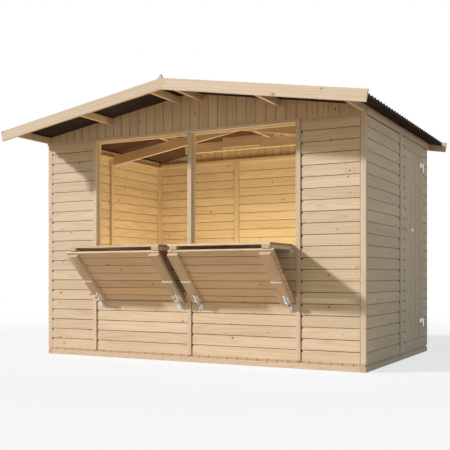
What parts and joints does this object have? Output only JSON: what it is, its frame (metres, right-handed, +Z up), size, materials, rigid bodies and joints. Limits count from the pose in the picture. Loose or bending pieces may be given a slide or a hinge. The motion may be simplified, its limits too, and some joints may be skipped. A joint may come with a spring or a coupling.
{
  "type": "wooden kiosk",
  "caption": "Hollow wooden kiosk of horizontal boards with serving windows, fold-out counters on leaning leaves, a hinged side door and a low gabled roof of dark corrugated sheets.",
  "frame": {"origin": "on the ground, under the middle bearer, at the centre of the floor plan", "axes": "+X to the right along the front with the serving windows, +Y from the front wall to the back wall, +Z up"},
  "size_m": [3.3676, 2.465, 2.2916],
  "materials": {
    "wall_boards": "planed, untreated",
    "planed_timber": "planed, untreated",
    "floor_boards": "planed, untreated",
    "bitumen_sheet": "matt, slightly grainy",
    "zinc_steel": "zinc plated"
  },
  "bodies": {
    "kiosk": {"back_barge_boards": "planed_timber", "back_gable": "wall_boards", "back_wall": "wall_boards", "brace_battens": "planed_timber", "corner_strips": "planed_timber", "counter_battens": "planed_timber", "counter_fittings": "zinc_steel", "cover_strips": "planed_timber", "door_jambs": "planed_timber", "eaves_purlins": "planed_timber", "eaves_rails": "planed_timber", "floor": "floor_boards", "floor_bearers": "planed_timber", "floor_rims": "planed_timber", "front_gable": "wall_boards", "front_left_barge_board": "planed_timber", "front_right_barge_board": "planed_timber", "front_top_rails": "wall_boards", "front_wall_left": "wall_boards", "front_wall_right": "wall_boards", "front_wall_under_windows": "wall_boards", "gable_rails": "planed_timber", "jamb_hinge_leaves": "zinc_steel", "left_counter": "wall_boards", "left_counter_brace": "wall_boards", "left_roof_sheet": "bitumen_sheet", "left_wall": "wall_boards", "middle_purlins": "planed_timber", "ridge_cap": "bitumen_sheet", "ridge_purlins": "planed_timber", "right_counter": "wall_boards", "right_counter_brace": "wall_boards", "right_roof_sheet": "bitumen_sheet", "right_wall_back": "wall_boards", "right_wall_front": "wall_boards", "right_wall_over_door": "wall_boards", "right_wall_under_door": "wall_boards", "truss_gusset": "planed_timber", "truss_rafters": "planed_timber", "truss_tie": "planed_timber", "wall_plates": "planed_timber", "wall_studs": "planed_timber", "window_head_rail": "planed_timber", "window_posts": "planed_timber", "window_sills": "planed_timber"},
    "door": {"door_hinge_leaves": "zinc_steel", "door_knob": "zinc_steel", "door_leaf": "wall_boards", "door_ledges": "planed_timber"}
  },
  "joints": [
    {"name": "door_hinge", "type": "hinge", "parent": "kiosk", "child": "door", "pos_m": [1.524, 0.7325, 1], "axis": [0, 0, 1], "range_deg": [0, 110]}
  ]
}
